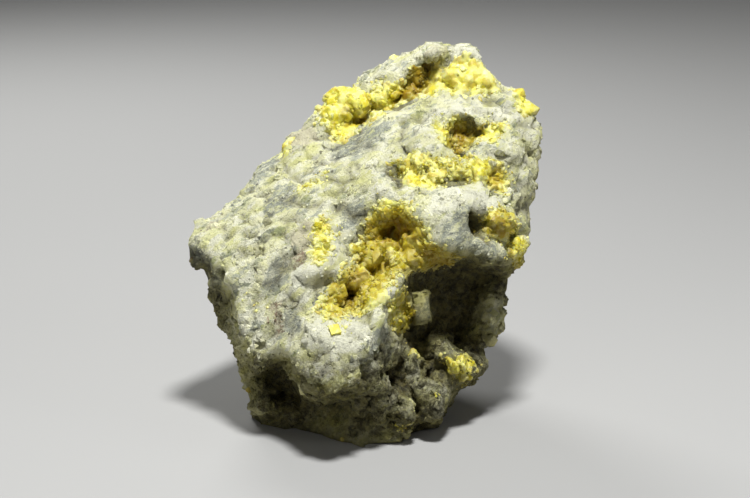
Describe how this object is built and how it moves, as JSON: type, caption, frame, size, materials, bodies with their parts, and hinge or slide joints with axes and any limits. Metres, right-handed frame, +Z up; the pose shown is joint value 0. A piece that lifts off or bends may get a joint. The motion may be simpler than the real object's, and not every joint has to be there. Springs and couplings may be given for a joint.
{
  "type": "native sulfur crystals on matrix rock",
  "caption": "Hand specimen of native sulfur: a craggy block of pale matrix rock with crusts of yellow crystals in its hollows, standing on its broken foot.",
  "frame": {"origin": "under the middle of the block's bounding box, on the surface that it stands on", "axes": "+X to the right as seen from the display face, +Y to the rear, +Z up"},
  "size_m": [0.1802, 0.1824, 0.1831],
  "materials": {
    "matrix_rock": "rough pale stone with a powdery cream-yellow crust and blue-grey clasts",
    "sulfur_crystal": "greasy to resinous yellow crystals, slightly translucent, amber in the depths"
  },
  "bodies": {
    "root": {"matrix_rock": "matrix_rock", "sulfur_crust_great_hollow": "sulfur_crystal", "sulfur_crust_trough": "sulfur_crystal", "sulfur_crust_crown": "sulfur_crystal", "sulfur_crust_shoulder": "sulfur_crystal", "sulfur_crust_pocket": "sulfur_crystal", "sulfur_crust_pocket_arm": "sulfur_crystal", "sulfur_crust_shelf": "sulfur_crystal", "sulfur_crust_right_knob": "sulfur_crystal", "sulfur_crust_brow_end": "sulfur_crystal", "sulfur_crust_seam": "sulfur_crystal", "sulfur_crust_under_ledge": "sulfur_crystal", "sulfur_crust_lower_right": "sulfur_crystal", "sulfur_crust_rear_upper": "sulfur_crystal", "sulfur_crust_rear_lower": "sulfur_crystal"}
  },
  "joints": []
}
